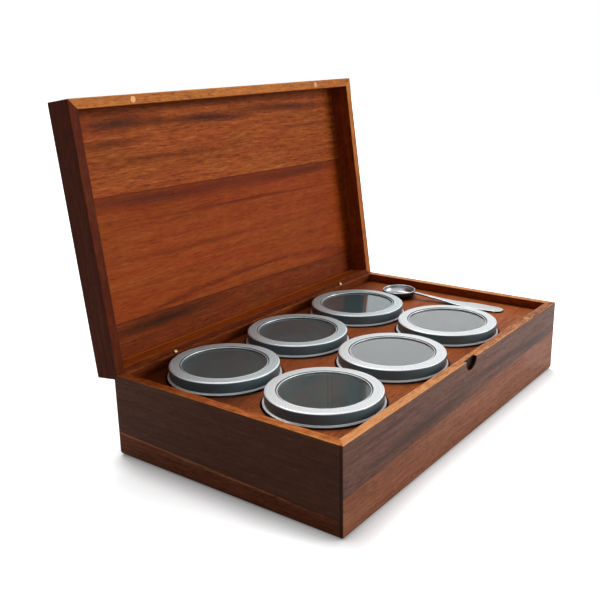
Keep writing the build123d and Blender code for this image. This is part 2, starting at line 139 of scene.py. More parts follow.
# Acacia, planed and sanded, stained walnut brown under a thin satin lacquer. To the eye: dark growth
# bands that wander along the grain, fine fibres, short dark pores, and a soft sheen that breaks up
# along the grain. Coordinates inside are millimetres along the grain, across it and through the board.
def acacia(name, look):
    material, add, at = newMaterial(name)
    grainWay, faceWay, origin = look["grain"]
    turn = Matrix((grainWay, faceWay, grainWay.cross(faceWay)))
    board = add("Mapping", {"Vector": at["Object"], **ownSpace(turn, turn @ Vector(origin))})
    slid = add("VectorMath", {0: board, 1: look["slide"]}, operation="ADD")

    # the grain wanders sideways by a few millimetres over a hand's length
    slow = add("Mapping", {"Vector": slid, "Scale": stretch(*look["wander"])})
    slowNoise = add("TexNoise", {"Vector": slow, "Scale": 1.0, "Detail": 2.0})
    centred = add("VectorMath", {0: slowNoise.outputs["Color"], 1: (0.5, 0.5, 0.5)}, operation="SUBTRACT")
    sideways = add("VectorMath", {0: centred, 1: (0, look["waver"], look["waver"])}, operation="MULTIPLY")
    bent = add("VectorMath", {0: board, 1: sideways}, operation="ADD")
    grain = add("VectorMath", {0: slid, 1: sideways}, operation="ADD")

    # growth rings, from their distance to where the trunk's centre would be
    fromPith = add("VectorMath", {0: bent, 1: (0, *look["pith"])}, operation="SUBTRACT")
    taper = add("VectorMath", {0: fromPith, 1: (look["taper"], 1, 1)}, operation="MULTIPLY")
    radius = add("VectorMath", {0: taper}, operation="LENGTH")
    ringCount = add("Math", {0: radius, 1: look["ring"]}, operation="DIVIDE")
    rings = add(
        "TexNoise", {"W": ringCount, "Scale": 1.0, "Detail": 3.0, "Roughness": 0.6}, noise_dimensions="1D"
    )

    # broad tone, streaks and fibres, each stretched along the grain, and the mottle that a planed
    # acacia board shows across its grain
    unringed = look["level"] - look["rings"] / 2
    sums = add("Math", {0: rings, 1: look["rings"], 2: unringed}, operation="MULTIPLY_ADD")
    layers = {}
    for layer, length, width, detail, share in (
        ("tone", 190, 18, 2.0, look["tone"]),
        ("streak", 60, 3, 4.0, look["streak"]),
        ("fibre", 13, 1.3, 2.0, look["fibre"]),  # real fibres are 0.2 mm, too fine to show here
        ("mottle", 11, 8, 2.0, look["mottle"]),
    ):
        stretched = add("Mapping", {"Vector": grain, "Scale": stretch(length, width)})
        noise = add("TexNoise", {"Vector": stretched, "Scale": 1.0, "Detail": detail, "Roughness": 0.62})
        offset = add("Math", {0: noise, 1: share, 2: -share / 2}, operation="MULTIPLY_ADD")
        sums = add("Math", {0: sums, 1: offset}, operation="ADD")
        layers[layer] = noise

    # dark heartwood streaks, and straight lines such as an eased joint; a few bands are painted shade and
    # one light line a painted highlight: centre, half length, half width, lean in degrees, strength
    ragged = add("Math", {0: layers["fibre"], 1: 1.6, 2: -0.6}, operation="MULTIPLY_ADD")
    broken = add("Math", {0: layers["streak"], 1: 1.6, 2: ragged}, operation="MULTIPLY_ADD")
    for kind, path in (("bands", bent), ("lines", board)):
        for centreX, centreY, halfLength, halfWidth, leanBy, strength in look.get(kind, ()):
            middle = add("VectorMath", {0: path, 1: (centreX, centreY, 0)}, operation="SUBTRACT")
            spot = add("Mapping", {"Vector": middle, "Rotation": (0, 0, radians(-leanBy))})
            squeezed = add("Mapping", {"Vector": spot, "Scale": (1 / halfLength, 1 / halfWidth, 0)})
            glow = add("TexGradient", {"Vector": squeezed}, gradient_type="SPHERICAL")
            depth = add("Math", {0: glow, 1: broken}, operation="MULTIPLY")
            sums = add("Math", {0: depth, 1: -strength, 2: sums}, operation="MULTIPLY_ADD")

    # nested arches where the saw ran along the rings
    for centreX, centreY, halfLength, halfWidth, count, strength in look.get("arches", ()):
        middle = add("VectorMath", {0: bent, 1: (centreX, centreY, 0)}, operation="SUBTRACT")
        squeezed = add("Mapping", {"Vector": middle, "Scale": (1 / halfLength, 1 / halfWidth, 0)})
        dome = add("TexGradient", {"Vector": squeezed}, gradient_type="SPHERICAL")
        levels = add("Math", {0: dome, 1: count * pi}, operation="MULTIPLY")
        wave = add("Math", {0: levels}, operation="SINE")
        lines = add("Math", {0: wave, 1: 6.0}, operation="POWER")
        sums = add("Math", {0: lines, 1: -strength, 2: sums}, operation="MULTIPLY_ADD")

    # short dark flecks, crowded in some places and missing in others
    fleckSpace = add("Mapping", {"Vector": grain, "Scale": stretch(*look["fleckSize"])})
    fleckNoise = add("TexNoise", {"Vector": fleckSpace, "Scale": 1.0, "Detail": 1.0})
    crowding = add("Math", {0: layers["mottle"], 1: -0.5, 2: 0.86}, operation="MULTIPLY_ADD")
    fleckDepth = add("Math", {0: fleckNoise, 1: crowding}, operation="SUBTRACT")
    flecks = add("MapRange", {"Value": fleckDepth, "From Max": 0.1, "To Max": look["flecks"]})
    sums = add("Math", {0: sums, 1: flecks}, operation="SUBTRACT")

    # the colour is a little lighter towards one end of a board
    boardParts = add("SeparateXYZ", {"Vector": board}).outputs
    sums = add("Math", {0: boardParts["X"], 1: look["fade"] / 100, 2: sums}, operation="MULTIPLY_ADD")

    # outer edges painted lighter, a painted edge highlight: there, two of the three distances to the outside
    # are small
    shapeWay, shapeOrigin, centre, half = look["shape"]
    shapeTurn = Matrix(shapeWay)
    shapeMiddle = shapeTurn @ Vector(shapeOrigin) + Vector(centre)
    inShape = add("Mapping", {"Vector": at["Object"], **ownSpace(shapeTurn, shapeMiddle)})
    mirrored = add("VectorMath", {0: inShape}, operation="ABSOLUTE")
    inward = add("VectorMath", {0: half, 1: mirrored}, operation="SUBTRACT")
    depths = add("SeparateXYZ", {"Vector": inward}).outputs
    lower = add("Math", {0: depths["X"], 1: depths["Y"]}, operation="MINIMUM")
    upper = add("Math", {0: depths["X"], 1: depths["Y"]}, operation="MAXIMUM")
    within = add("Math", {0: upper, 1: depths["Z"]}, operation="MINIMUM")
    second = add("Math", {0: lower, 1: within}, operation="MAXIMUM")
    none, full = look["edgeHighlightWidth"]
    edgeHighlight = add("MapRange", {"Value": second, "From Min": none, "From Max": full, "To Max": look["edgeHighlight"]})
    sums = add("Math", {0: sums, 1: edgeHighlight}, operation="ADD")

    color = add("ValToRGB", {"Fac": sums})
    setRamp(color, look["stops"])

    # faces that took the stain differently: sanded rims, and the inside. Fade is the change of level
    # over the board's length; on the left and rear rims the lower level and the fade are partly painted
    # shade of the open lid.
    mottle = add("TexNoise", {"Vector": slid, "Scale": 0.16, "Detail": 3.0})
    for way, stops, level, fade in look.get("faces", ()):
        facing = add("VectorMath", {0: at["Normal"], 1: way}, operation="DOT_PRODUCT")
        mask = add("MapRange", {"Value": facing, "From Min": 0.55, "From Max": 0.85})
        mottled = add("Math", {0: mottle, 1: 0.5, 2: level - 0.25}, operation="MULTIPLY_ADD")
        faded = add("Math", {0: boardParts["X"], 1: fade / 100, 2: mottled}, operation="MULTIPLY_ADD")
        faceLevel = add("Math", {0: sums, 1: faded}, operation="ADD")
        faceFigure = add("ValToRGB", {"Fac": faceLevel})
        setRamp(faceFigure, stops)
        color = add("Mix", {0: mask, 6: color, 7: faceFigure}, data_type="RGBA")

    # patches a little more golden or more red
    patchSpace = add("Mapping", {"Vector": slid, "Scale": stretch(*look["patchSize"])})
    patches = add("TexNoise", {"Vector": patchSpace, "Scale": 1.0, "Detail": 2.0})
    hue = add("MapRange", {"Value": patches, **noiseRange, **toRange(*look["hues"])})
    color = add("HueSaturation", {"Hue": hue, "Color": color})

    # pores: real ones are 0.2 mm wide and about 6 mm long, drawn 0.8 mm wide so that they show
    poreSpace = add("Mapping", {"Vector": slid, "Scale": stretch(*look["poreSize"])})
    poreNoise = add("TexNoise", {"Vector": poreSpace, "Scale": 1.0, "Detail": 1.0})
    pores = add("MapRange", {"Value": poreNoise, "From Min": 0.6, "From Max": 0.74, "To Max": look["pores"]})
    color = add("Mix", {0: pores, 6: color, 7: hexColor(look["pore"])}, data_type="RGBA")

    # painted shade: dark in a pocket such as the finger notch (its centre and half size), and painted
    # contact shade on level faces under a close neighbour
    for centre, half in look.get("pocketShades", ()):
        offset = add("VectorMath", {0: board, 1: centre}, operation="SUBTRACT")
        offset = add("VectorMath", {0: offset}, operation="ABSOLUTE")
        inside = add("VectorMath", {0: half, 1: offset}, operation="SUBTRACT")
        sides = add("SeparateXYZ", {"Vector": inside}).outputs
        least = add("Math", {0: sides["X"], 1: sides["Y"]}, operation="MINIMUM")
        least = add("Math", {0: least, 1: sides["Z"]}, operation="MINIMUM")
        pocketShade = add("MapRange", {"Value": least, "From Max": 0.2})
        color = add("Mix", {0: pocketShade, 6: color, 7: hexColor("#1E0D07")}, data_type="RGBA")
    # painted contact shade: level faces darken where ambient occlusion finds a close neighbour, as under the
    # tins' hems
    if look["corner"]:
        near = add("AmbientOcclusion", {"Distance": look["corner"] * mm}, samples=8)
        contactShade = add(
            "MapRange",
            {"Value": near.outputs["AO"], "From Min": 0.35, "From Max": 0.8, "To Min": look["contactShadeDepth"]},
        )
        upright = add("VectorMath", {0: at["Normal"], 1: upward}, operation="DOT_PRODUCT")
        level = add("MapRange", {"Value": upright, "From Min": 0.95, "From Max": 0.99})
        color = add("Mix", {0: level, 6: color, 7: contactShade}, data_type="RGBA", blend_type="MULTIPLY")

    sheen = add("MapRange", {"Value": layers["streak"], **noiseRange, **toRange(*look["roughness"])})
    relief = add("Math", {0: pores, 1: -0.8, 2: layers["fibre"]}, operation="MULTIPLY_ADD")
    bump = add("Bump", {"Height": relief, "Strength": 0.4, "Distance": look["relief"] * mm})
    surface = add(
        "BsdfPrincipled",
        {"Base Color": color, "Roughness": sheen, "Specular IOR Level": look["gloss"], "Normal": bump},
    )
    add("OutputMaterial", {"Surface": surface})
    return material


origin = (0, 0, 0)
boxShape = ((along, across, upward), origin, (0, 0, 32), (172.5, 100, 32))
lidShape = ((along, lidBack, lidUp), lidOrigin, (0, 0, 11.6), (172.5, 100, 11.5))
frontGrain = (along, upward, origin)
sideGrain = (across, upward, origin)
flatGrain = (along, across, origin)
lidGrain = (along, lidBack, lidOrigin)
lidEdgeGrain = (along, lidUp, lidOrigin)
lidSideGrain = (lidBack, lidUp, lidOrigin)

plainWood = {
    "waver": 7,
    "wander": (130, 40),
    "fleckSize": (5, 0.8),
    "patchSize": (55, 16),
    "poreSize": (7, 0.8),
    "hues": (0.496, 0.504),
    "edgeHighlightWidth": (1.0, 0.3),
    "contactShadeDepth": 0.1,
    "roughness": (0.55, 0.42),
    "relief": 0.08,
    "pith": (-30, -70),
    "taper": 0.05,
    "ring": 6,
    "rings": 0.25,
    "level": 0.57,
    "tone": 0.45,
    "streak": 0.5,
    "fibre": 0.8,
    "mottle": 0.25,
    "flecks": 0.3,
    "fade": 0,
    "shape": boxShape,
    "edgeHighlight": 0.25,
    "pores": 0.3,
    "pore": "#24120C",
    "gloss": 0.06,
    "corner": 0,
}

# ---- walls of the box
greyBrown = [(0.0, "#321A11"), (0.3, "#4C2F24"), (0.55, "#644134"), (0.8, "#755145"), (1.0, "#866356")]
lightBrown = [(0.0, "#4A2814"), (0.3, "#6C3E25"), (0.55, "#864F35"), (0.8, "#965E43"), (1.0, "#A66E52")]
darkBrown = [(0.0, "#301A12"), (0.3, "#46291D"), (0.55, "#573324"), (0.8, "#65402F"), (1.0, "#734D3A")]
redBrown = [(0.0, "#341509"), (0.3, "#502612"), (0.55, "#69361E"), (0.75, "#7E462C"), (1.0, "#A66645")]
insideBrown = [(0.0, "#3E1708"), (0.3, "#622A0E"), (0.55, "#803815"), (0.8, "#92461C"), (1.0, "#A55628")]
rimBrown = [(0.0, "#562610"), (0.25, "#7C401E"), (0.45, "#A36334"), (0.62, "#C6824E"), (0.9, "#DA965A")]
redRim = [(0.0, "#4A1D08"), (0.25, "#6E2F10"), (0.45, "#8F4518"), (0.62, "#AD5E2A"), (0.9, "#C8803F")]
dimRim = [(0.0, "#2F0F03"), (0.3, "#461905"), (0.55, "#561F08"), (0.8, "#66290C"), (1.0, "#7A3714")]
walls = {
    "front_wall_upper": {
        "grain": frontGrain,
        "slide": (12, 0, 0),
        "stops": greyBrown,
        "pores": 0.5,
        "fade": 0.04,
        "level": 0.52,
        "gloss": 0.08,
        "bands": [
            (-70, 39, 95, 5, 1.5, 0.5),
            (60, 44, 110, 4, -1, 0.35),
            (-120, 55, 50, 3, 0, 0.3),
            (130, 40, 60, 6, 1, 0.4),
        ],
        # the finger notch, darkened as painted shade
        "pocketShades": [((0, 59.4, 96.1), (9, 4.5, 3.5))],
        "faces": [(upward, rimBrown, 0.02, -0.2), (across, insideBrown, 0, 0)],
    },
    "front_wall_lower": {
        "grain": frontGrain, "slide": (400, 30, 60), "stops": lightBrown, "gloss": 0.09, "level": 0.5
    },
    "right_wall_upper": {
        "grain": sideGrain,
        "slide": (800, 70, 0),
        "stops": greyBrown,
        "faces": [(upward, rimBrown, 0.04, 0), (-along, insideBrown, 0, 0)],
    },
    "right_wall_lower": {"grain": sideGrain, "slide": (150, 120, 30), "stops": lightBrown},
    "rear_wall_upper": {
        "grain": frontGrain,
        "slide": (950, 15, 90),
        "stops": greyBrown,
        # rear rim and inner face set darker: partly painted shade of the open lid
        "faces": [(upward, redRim, -0.1, 0), (-across, insideBrown, -0.2, 0)],
    },
    "rear_wall_lower": {"grain": frontGrain, "slide": (250, 200, 10), "stops": redBrown},
    "left_wall_upper": {
        "grain": sideGrain,
        "slide": (550, 300, 20),
        "stops": darkBrown,
        "fade": 0.08,
        "lines": [(-98.6, 32, 60, 1.6, 90, 0.9)],
        # the rim darkens towards the rear: painted shade of the open lid
        "faces": [(upward, redRim, -0.06, -0.22), (along, insideBrown, 0, 0)],
    },
    "left_wall_lower": {
        "grain": sideGrain,
        "slide": (640, 10, 45),
        "stops": redBrown,
        "fade": 0.1,
        "lines": [(35, 16.9, 150, 2.6, 1.92, -0.9), (-98.6, 5, 60, 1.6, 90, 0.9)],
    },
}
for name, look in walls.items():
    dress(name, acacia("acacia, stained walnut, " + name.replace("_", " "), {**plainWood, **look}))
print("walls dressed")

# ---- inside: deck, floor and cleats
orangeBrown = [(0.0, "#562509"), (0.3, "#783915"), (0.55, "#944B22"), (0.8, "#A6592B"), (1.0, "#B66835")]
inner = {
    "deck_panel": {
        "grain": flatGrain,
        "slide": (40, 20, 300),
        "fade": 0.05,
        # painted contact shade around the tins and walls, reaching 6 mm
        "corner": 6,
        # painted shadow of the open lid on the deck's rear left
        "bands": [(-150, 70, 100, 80, 0, 1.5)],
    },
    "floor_panel": {"grain": flatGrain, "slide": (340, 520, 300), "stops": redBrown},
    "front_cleat": {"grain": frontGrain, "slide": (0, 700, 0)},
    "rear_cleat": {"grain": frontGrain, "slide": (300, 700, 0)},
    "left_cleat": {"grain": sideGrain, "slide": (600, 700, 0)},
    "right_cleat": {"grain": sideGrain, "slide": (900, 700, 0)},
}
for name, look in inner.items():
    look = {**plainWood, "stops": orangeBrown, "edgeHighlight": 0, **look}
    dress(name, acacia("acacia, orange brown, " + name.replace("_", " "), look))
print("deck, floor and cleats dressed")

# ---- lid rails and the glued-up panel
endBrown = [(0.0, "#280D04"), (0.3, "#3E1707"), (0.55, "#501F0B"), (0.8, "#602B14"), (1.0, "#703B21")]
shelfBrown = [(0.0, "#6A2C0C"), (0.3, "#8B3F12"), (0.55, "#A34D18"), (0.8, "#B35B20"), (1.0, "#C56B2A")]
lidRimBrown = [(0.0, "#5E2C10"), (0.25, "#84461E"), (0.45, "#A65E2E"), (0.65, "#BA7034"), (0.9, "#CC833D")]
rails = {
    "lid_front_rail": {
        "grain": lidEdgeGrain,
        "slide": (70, 40, 500),
        "stops": darkBrown,
        "faces": [(-lidUp, lidRimBrown, 0.04, -0.02), (lidBack, insideBrown, 0, 0)],
    },
    "lid_rear_rail": {
        "grain": lidEdgeGrain,
        "slide": (670, 40, 500),
        "stops": darkBrown,
        "faces": [(-lidUp, dimRim, 0.05, 0), (-lidBack, shelfBrown, -0.05, -0.03)],
        # painted highlight: a light line where the rail meets the panel
        "lines": [(0, 18.0, 900, 3.2, 0, -2.4)],
    },
    "lid_left_rail": {
        "grain": lidSideGrain,
        "slide": (170, 340, 500),
        "stops": endBrown,
        "faces": [(-lidUp, dimRim, 0, 0), (along, insideBrown, 0, 0)],
    },
    "lid_right_rail": {
        "grain": lidSideGrain,
        "slide": (470, 240, 500),
        "stops": darkBrown,
        "faces": [(-lidUp, lidRimBrown, 0, -0.1), (-along, insideBrown, 0, 0)],
    },
}
for name, look in rails.items():
    look = {**plainWood, "shape": lidShape, "gloss": 0.04, **look}
    dress(name, acacia("acacia, stained walnut, " + name.replace("_", " "), look))

goldenBrown = [(0.0, "#3F1B08"), (0.3, "#6B3010"), (0.55, "#8B4016"), (0.75, "#9E4F1E"), (1.0, "#B5662C")]
warmRed = [(0.0, "#451806"), (0.3, "#6C290B"), (0.55, "#86380F"), (0.75, "#944316"), (1.0, "#A75622")]
darkRed = [(0.0, "#2D1404"), (0.3, "#4D2108"), (0.55, "#682A0A"), (0.75, "#76330E"), (1.0, "#884017")]
panels = {
    "lid_panel_front": {
        "stops": goldenBrown,
        "slide": (30, 150, 0),
        "level": 0.66,
        "flecks": 0.2,
        "fibre": 1.05,
        "pores": 0.5,
        "pith": (-150, -60),
        "bands": [
            # painted shade under the front rail
            (0, -91, 400, 6, 0, 0.35),
            (-118, -80, 60, 9, -1, 0.6),
            (-128, -66, 44, 4, 1, 0.45),
            (-20, -77, 75, 5, 2, 0.6),
            (90, -80, 100, 5, 1, 0.5),
            (120, -62, 70, 3, 1, 0.3),
            (-60, -52, 80, 3, 1.5, 0.3),
        ],
    },
    "lid_panel_middle": {
        "stops": warmRed,
        "slide": (500, 450, 40),
        "level": 0.64,
        "tone": 0.3,
        "streak": 0.35,
        "flecks": 0.15,
        "pith": (160, -60),
        "bands": [
            (-60, -22, 230, 9, 1.2, 0.5),
            (110, -20, 100, 7, 1.2, 0.4),
            (20, -4, 190, 2, 1.5, 0.35),
            (-60, 22, 120, 2.5, 1, 0.25),
        ],
        "lines": [(0, -26.5, 700, 1.6, 1.25, 0.4)],
        "arches": [(10, 75, 190, 24, 2, 0.25)],
    },
    "lid_panel_rear": {
        "stops": darkRed,
        "slide": (900, 850, 80),
        "level": 0.64,
        "fibre": 0.95,
        "flecks": 0.25,
        "pith": (-20, -40),
        "lines": [(0, 68.4, 700, 1.4, 1.25, 0.35)],
        "bands": [(-100, 73, 85, 6, 0, 0.6), (60, 67, 130, 2.5, 1, 0.5)],
    },
}
for name, look in panels.items():
    look = {**plainWood, "grain": lidGrain, "shape": lidShape, "edgeHighlight": 0, "gloss": 0.04, **look}
    dress(name, acacia("acacia board, warm brown, " + name.replace("_", " "), look))
print("lid dressed")


# ---- metals
# Tinplate, rolled, bright outside and under a darker grey food lacquer inside: a soft grey metal whose
# rolling marks run up the can, with the two edges of its lapped side seam as dark lines.
def tinplate(name, look, place, seam):
    material, add, at = newMaterial(name)
    drawn = add("Mapping", {"Vector": at["Object"], "Scale": (900, 900, 14)})
    marks = add("TexNoise", {"Vector": drawn, "Scale": 1.0, "Detail": 3.0})
    outside = add("ValToRGB", {"Fac": marks})
    setRamp(outside, look["stops"])
    inside = add("ValToRGB", {"Fac": marks})
    setRamp(inside, look["insideStops"])
    foot = add("VectorMath", {0: at["Object"], 1: (place[0] * mm, place[1] * mm, 0)}, operation="SUBTRACT")
    spot = add("Mapping", {"Vector": foot, "Rotation": (0, 0, radians(-seam)), "Scale": toMm})
    flat = add("VectorMath", {0: foot, 1: (1, 1, 0)}, operation="MULTIPLY")
    outward = add("VectorMath", {0: flat, 1: at["Normal"]}, operation="DOT_PRODUCT")
    isOutside = add("Math", {0: outward, 1: 0.001}, operation="GREATER_THAN")
    color = add("Mix", {0: isOutside, 6: inside, 7: outside}, data_type="RGBA")
    metallic = add("MapRange", {"Value": isOutside, **toRange(look["metallic"], look["outsideMetallic"])})
    spotParts = add("SeparateXYZ", {"Vector": spot}).outputs
    fromSeam = add("Math", {0: spotParts["Y"]}, operation="ABSOLUTE")
    fromEdge = add("Math", {0: fromSeam, 1: look["seamHalf"]}, operation="SUBTRACT")
    fromEdge = add("Math", {0: fromEdge}, operation="ABSOLUTE")
    edge = add("MapRange", {"Value": fromEdge, "From Min": 0.3, "From Max": 0.7, **toRange(0.95, 0)})
    onSeamSide = add("Math", {0: spotParts["X"], 1: 0.0}, operation="GREATER_THAN")
    line = add("Math", {0: edge, 1: onSeamSide}, operation="MULTIPLY")
    color = add("Mix", {0: line, 6: color, 7: hexColor("#0C0E0F")}, data_type="RGBA")
    rough = add("MapRange", {"Value": marks, **noiseRange, **toRange(*look["roughness"])})
    bump = add("Bump", {"Height": marks, "Strength": 0.03, "Distance": 0.02 * mm})
    surface = add(
        "BsdfPrincipled",
        {"Base Color": color, "Metallic": metallic, "Roughness": rough, "Normal": bump},
    )
    add("OutputMaterial", {"Surface": surface})
    return material


canLook = {
    "stops": [(0.3, "#8B8D8E"), (0.7, "#97999A")],
    "insideStops": [(0.3, "#465559"), (0.7, "#516165")],
    "roughness": (0.35, 0.45),
    "metallic": 0.3,
    "outsideMetallic": 0.9,
    "seamHalf": 1.5,
    "seams": (29.3, 131.0, 322.0, 138.0, 124.0, 334.0),
}
for number, (place, seam) in enumerate(zip(tinPlaces, canLook["seams"]), start=1):
    canMetal = tinplate(f"tinplate, rolled and lacquered, {number}", canLook, place, seam)
    dress(f"tin_{number}_wall", canMetal)
    dress(f"tin_{number}_base", canMetal)


# Tinplate, pressed on a lathe-turned die and lightly blasted: matt silver with a fine grain and the
# faint rings of the die on its flat top, a painted highlight on the sloped shoulder, and a smoother
# skirt whose dark blue-grey is a painted reflection of the dim room.
def coverTinplate(name, look):
    material, add, at = newMaterial(name)
    spin = add("Attribute", attribute_name="spin")
    parts = add("SeparateXYZ", {"Vector": spin.outputs["Vector"]}).outputs
    dieRings = add("TexNoise", {"W": parts["X"], "Scale": 1.1, "Detail": 3.0}, noise_dimensions="1D")
    # blasting grit is 0.3 mm, drawn 0.7 mm so that it shows
    grit = add("TexNoise", {"Vector": at["Object"], "Scale": 1400.0, "Detail": 2.0})
    mixed = add("Math", {0: dieRings, 1: 0.35, 2: grit}, operation="MULTIPLY_ADD")
    tone = add("ValToRGB", {"Fac": mixed})
    setRamp(tone, look["topStops"])
    # upright and outside the ring is skirt, a slope is shoulder
    normalParts = add("SeparateXYZ", {"Vector": at["Normal"]}).outputs
    steep = add("MapRange", {"Value": normalParts["Z"], "From Min": 0.65, "From Max": 0.35})
    outside = add("Math", {0: parts["X"], 1: look["skirtFrom"]}, operation="GREATER_THAN")
    above = add("Math", {0: parts["Z"], 1: look["hemBelow"]}, operation="GREATER_THAN")
    skirtMask = add("Math", {0: steep, 1: outside}, operation="MULTIPLY")
    skirtMask = add("Math", {0: skirtMask, 1: above}, operation="MULTIPLY")
    # painted highlight: the sloped faces of the shoulder are lighter
    sloped = add("MapRange", {"Value": normalParts["Z"], "From Min": 0.97, "From Max": 0.8})
    shoulderHighlight = add("Mix", {0: sloped, 6: tone, 7: hexColor(look["shoulder"])}, data_type="RGBA")
    # painted shade along the foot of the ring's inner wall, where the step shades it; the rolled hem is
    # plain
    sunk = add("MapRange", {"Value": parts["Z"], "From Min": look["sunkFrom"], "From Max": look["sunkTo"]})
    fromGroove = add("Math", {0: parts["X"], 1: look["grooveAt"]}, operation="SUBTRACT")
    fromGroove = add("Math", {0: fromGroove}, operation="ABSOLUTE")
    inGroove = add("Math", {0: fromGroove, 1: look["grooveHalf"]}, operation="LESS_THAN")
    stepShade = add("Math", {0: sunk, 1: inGroove}, operation="MULTIPLY")
    stepShaded = add("Mix", {0: stepShade, 6: shoulderHighlight, 7: hexColor(look["groove"])}, data_type="RGBA")
    isHem = add("Math", {0: parts["Z"], 1: look["hemBelow"]}, operation="LESS_THAN")
    hemmed = add("Mix", {0: isHem, 6: stepShaded, 7: hexColor(look["hem"])}, data_type="RGBA")
    # painted reflection: the skirt is given a dark blue-grey, hardly metallic, for the dim room it faces
    color = add("Mix", {0: skirtMask, 6: hemmed, 7: hexColor(look["skirt"])}, data_type="RGBA")
    rough = add("MapRange", {"Value": sloped, **toRange(look["topRoughness"], look["skirtRoughness"])})
    metallic = add("MapRange", {"Value": skirtMask, **toRange(look["metallic"], look["skirtMetallic"])})
    bump = add("Bump", {"Height": mixed, "Strength": 0.3, "Distance": 0.03 * mm})
    surface = add(
        "BsdfPrincipled",
        {"Base Color": color, "Metallic": metallic, "Roughness": rough, "Normal": bump},
    )
    add("OutputMaterial", {"Surface": surface})
    return material


coverLook = {
    "topStops": [(0.45, "#A6ACAE"), (0.85, "#DCE0E1")],
    # painted highlight on the shoulder
    "shoulder": "#F0F2F2",
    # dark blue-grey, a painted reflection of the dim room
    "skirt": "#54686E",
    "hem": "#CDD3D5",
    # painted shade at the foot of the ring's inner wall
    "groove": "#14181A",
    "grooveAt": 33.2,
    "grooveHalf": 0.5,
    "sunkFrom": 61.15,
    "sunkTo": 61.05,
    "skirtFrom": 38,
    "hemBelow": 52.9,
    "topRoughness": 0.45,
    "skirtRoughness": 0.35,
    "metallic": 0.35,
    "skirtMetallic": 0.1,
}
coverMetal = coverTinplate("tinplate, pressed and blasted matt silver", coverLook)
# the rear row is a little darker and cooler: painted shade of the open lid
shadedRearLook = {**coverLook, "topStops": [(0.45, "#96A4A8"), (0.85, "#CCDADE")]}
shadedRearMetal = coverTinplate("tinplate, pressed and blasted matt silver, rear row", shadedRearLook)


# Clear polystyrene disc, moulded and polished: glossy, colourless, thin enough to see straight through,
# with the faint grey haze that handling leaves. Each disc lies in its ring a little out of level, which
# turns what it reflects.
def clearPlastic(name, look, lean, ior, dustColor):
    material, add, at = newMaterial(name)
    haze = add("TexNoise", {"Vector": at["Object"], "Scale": 90.0, "Detail": 2.0})
    rough = add("MapRange", {"Value": haze, **toRange(*look["roughness"])})
    geometry = add("NewGeometry")
    leant = add("VectorMath", {0: geometry.outputs["Normal"], 1: (*lean, 0)}, operation="ADD")
    normal = add("VectorMath", {0: leant}, operation="NORMALIZE")
    tint = hexColor(look["tint"])
    glass = add(
        "BsdfPrincipled",
        {"Base Color": tint, "Roughness": rough, "IOR": ior, "Transmission Weight": 1.0, "Normal": normal},
    )
    dust = add("BsdfDiffuse", {"Color": hexColor(dustColor)})
    dustShare = add("MapRange", {"Value": haze, **noiseRange, **toRange(*look["dusty"])})
    dusty = add("MixShader", {0: dustShare, 1: glass, 2: dust})
    clear = add("BsdfTransparent", {"Color": tint})
    path = add("LightPath")
    mixed = add("MixShader", {0: path.outputs["Is Shadow Ray"], 1: dusty, 2: clear})
    add("OutputMaterial", {"Surface": mixed})
    return material


discLook = {
    "roughness": (0.02, 0.06),
    "iors": [1.34, 1.59, 1.44, 1.24, 1.24, 1.34],
    "tint": "#F0F5F5",
    "dusts": ["#A8D0D2", "#D2D6D7", "#D2D6D7", "#98D4DA", "#90D8E0", "#98D6DE"],
    "dusty": (0.035, 0.05),
    "leans": [(-0.04, 0.03), (0.03, -0.1), (0.01, 0), (0, 0), (0.01, 0), (-0.005, 0.005)],
}
discs = zip(discLook["leans"], discLook["iors"], discLook["dusts"])
for number, (lean, ior, dustColor) in enumerate(discs, start=1):
    clear = clearPlastic(f"polystyrene, clear, {number}", discLook, lean, ior, dustColor)
    dress(f"tin_{number}_window", clear)


# Stainless steel, pressed and brushed along the scoop: soft grey with fine scratches one way.
def stainless(name, look):
    material, add, at = newMaterial(name)
    brushed = add(
        "Mapping",
        {"Vector": at["Object"], "Rotation": (0, 0, radians(-look["turn"])), "Scale": look["scratch"]},
    )
    scratches = add("TexNoise", {"Vector": brushed, "Scale": 1.0, "Detail": 2.0})
    polished = add("ValToRGB", {"Fac": scratches})
    setRamp(polished, look["stops"])
    # painted shade and dark reflection on the sheared edges and the outside of the bowl: faces that look
    # away from the bowl's axis
    away = add("VectorMath", {0: at["Object"], 1: look["axis"]}, operation="SUBTRACT")
    away = add("VectorMath", {0: away, 1: (1, 1, 0)}, operation="MULTIPLY")
    away = add("VectorMath", {0: away}, operation="NORMALIZE")
    outward = add("VectorMath", {0: away, 1: at["Normal"]}, operation="DOT_PRODUCT")
    normalParts = add("SeparateXYZ", {"Vector": at["Normal"]}).outputs
    facing = add("Math", {0: outward, 1: look["outwardShare"]}, operation="MULTIPLY")
    tilted = add("Math", {0: normalParts["Z"], 1: facing}, operation="SUBTRACT")
    paintedDark = add("MapRange", {"Value": tilted, "From Min": look["paintedDarkFrom"], "From Max": look["paintedDarkTo"]})
    color = add("Mix", {0: paintedDark, 6: polished, 7: hexColor(look["paintedDark"])}, data_type="RGBA")
    rough = add("MapRange", {"Value": scratches, **noiseRange, **toRange(*look["roughness"])})
    bump = add("Bump", {"Height": scratches, "Strength": 0.2, "Distance": 0.02 * mm})
    surface = add(
        "BsdfPrincipled", {"Base Color": color, "Metallic": 1.0, "Roughness": rough, "Normal": bump}
    )
    add("OutputMaterial", {"Surface": surface})
    return material


